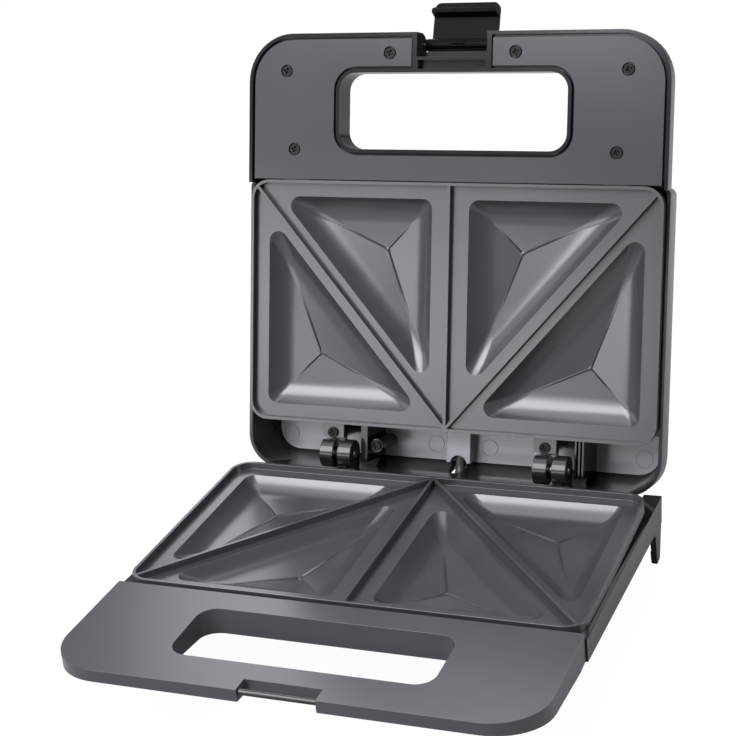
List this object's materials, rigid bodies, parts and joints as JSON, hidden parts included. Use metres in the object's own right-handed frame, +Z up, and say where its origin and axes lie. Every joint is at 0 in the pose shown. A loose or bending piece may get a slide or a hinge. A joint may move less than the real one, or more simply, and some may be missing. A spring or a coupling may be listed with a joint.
{
  "type": "sandwich toaster",
  "caption": "Electric sandwich toaster with a hinged lid, cast plates with triangular pockets, a grip hole through both front handles and a hooked latch.",
  "frame": {"origin": "on the surface the toaster stands on, at the middle of its box with the lid open", "axes": "+Z up, +Y from the handles to the hinge, +X to the right seen from the handles"},
  "size_m": [0.226, 0.3134, 0.2635],
  "materials": {
    "housing": "satin gloss black",
    "black_plastic": "gloss black",
    "panel": "satin gloss black",
    "plate": "dark non-stick coating, satin",
    "element": "annealed",
    "sheet": "bright sheet",
    "ceramic": "off-white",
    "soft": "matt black",
    "steel": "zinc plated",
    "dark_steel": "blackened",
    "sleeve": "glass-fibre sleeve",
    "red_lens": "clear red",
    "green_lens": "clear green",
    "lamp": "clear"
  },
  "bodies": {
    "base": {"base_shell": "housing", "base_handle": "housing", "base_handle_cover": "housing", "catch_bar": "black_plastic", "lower_plate": "plate", "lower_element": "element", "lower_reflector": "sheet", "lower_clamps": "sheet", "lower_thermostat": "ceramic", "terminal_block": "ceramic", "cord_gland": "soft", "base_hinge_brackets": "black_plastic", "base_hinge_screws": "steel", "base_screws": "steel", "front_feet": "soft", "lead_sleeve": "sleeve"},
    "lid": {"lid_shell": "housing", "lid_panel": "panel", "lid_panel_screws": "dark_steel", "lid_hinge_brackets": "black_plastic", "lid_hinge_screws": "dark_steel", "hinge_pins": "steel", "earth_lead_screw": "steel", "upper_plate": "plate", "upper_element": "element", "upper_reflector": "sheet", "upper_clamps": "sheet", "upper_thermostat": "ceramic", "thermal_fuse": "ceramic", "lead_duct": "black_plastic", "power_lens": "red_lens", "ready_lens": "green_lens", "indicator_lamps": "lamp", "latch_pin": "steel"},
    "latch": {"latch": "black_plastic"}
  },
  "joints": [
    {"name": "lid_hinge", "type": "hinge", "parent": "base", "child": "lid", "pos_m": [0, 0.06313, 0.04446], "axis": [1, 0, 0], "range_deg": [0, 106.9], "deforming": ["lead_sleeve"]},
    {"name": "latch_pivot", "type": "hinge", "parent": "lid", "child": "latch", "pos_m": [0, 0.13695, 0.24569], "axis": [1, 0, 0], "range_deg": [0, 101.6]}
  ]
}
